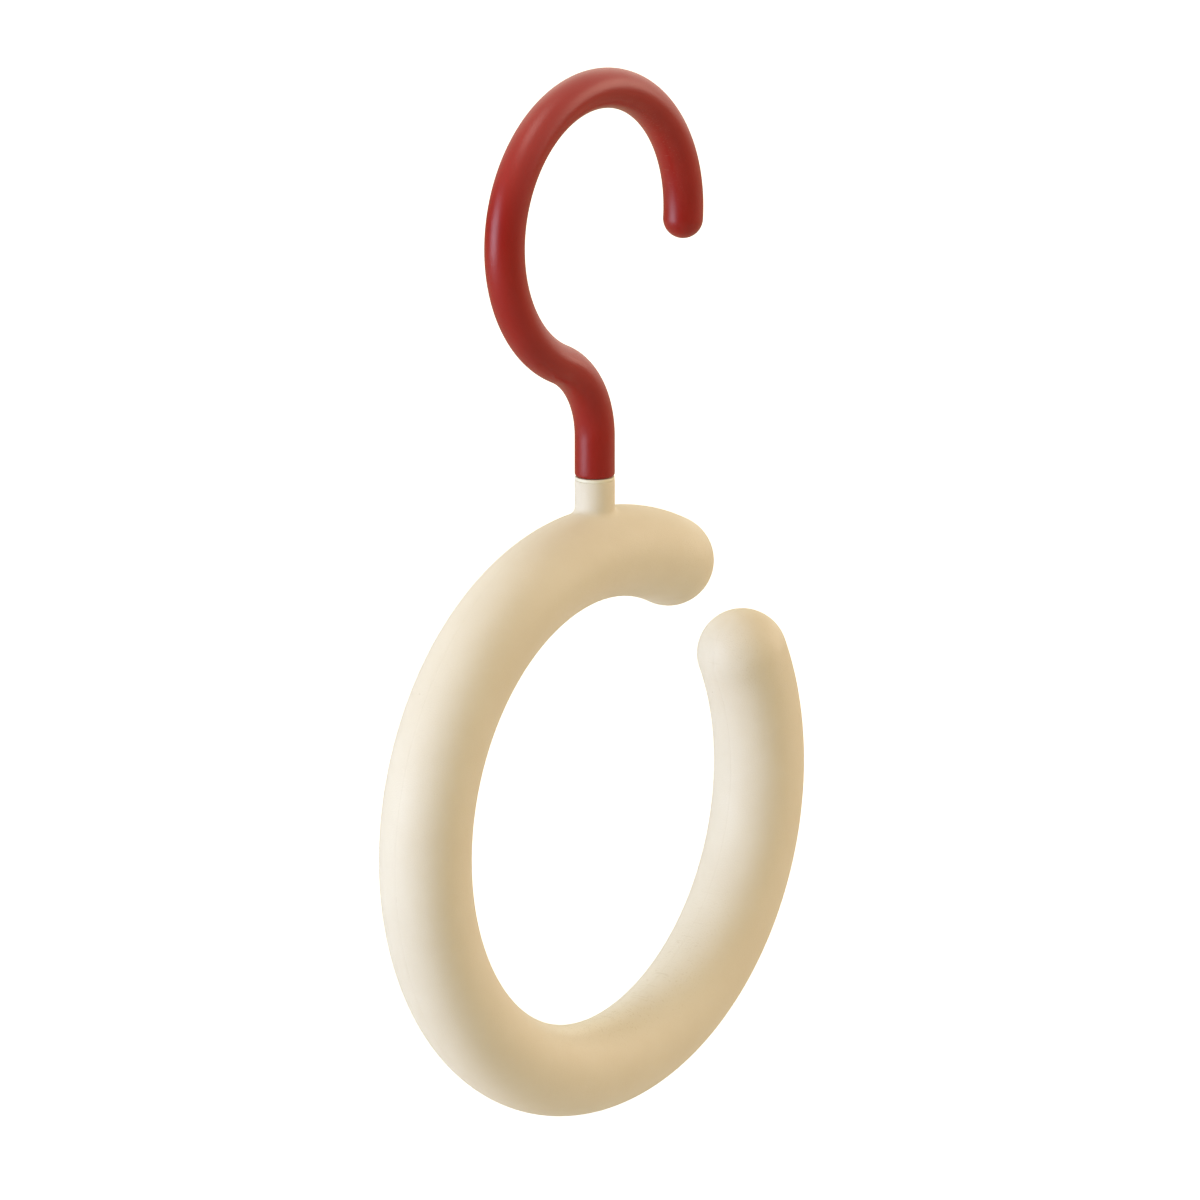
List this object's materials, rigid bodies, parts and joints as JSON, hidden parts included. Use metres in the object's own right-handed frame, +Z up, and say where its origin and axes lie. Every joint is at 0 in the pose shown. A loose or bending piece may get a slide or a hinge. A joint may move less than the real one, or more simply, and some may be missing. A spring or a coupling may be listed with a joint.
{
  "type": "scarf hanger",
  "caption": "Question-mark hook that turns freely above a thick open ring, which holds a garment threaded through its side gap.",
  "frame": {"origin": "highest point inside the hook, where it hangs, on the swivel's vertical axis", "axes": "+Z up along the swivel axis; hook and ring lie in the XZ plane and open towards +X; the front is -Y"},
  "size_m": [0.1124, 0.0168, 0.1934],
  "materials": {
    "red_plastic": "satin",
    "cream_plastic": "satin",
    "ivory_acetal": "satin",
    "natural_nylon": "satin",
    "bright_steel": "drawn",
    "spring_steel": "phosphated"
  },
  "bodies": {
    "hook": {"hook_core": "bright_steel", "hook_sleeve": "red_plastic", "stem_washer": "bright_steel", "retaining_clip": "spring_steel"},
    "ring": {"ring_front_shell": "cream_plastic", "ring_rear_shell": "cream_plastic", "neck_bush": "natural_nylon", "thrust_washer": "ivory_acetal"}
  },
  "joints": [
    {"name": "ring_swivel", "type": "hinge", "parent": "hook", "child": "ring", "pos_m": [0, 0, -0.0729], "axis": [0, 0, 1], "continuous": true}
  ]
}
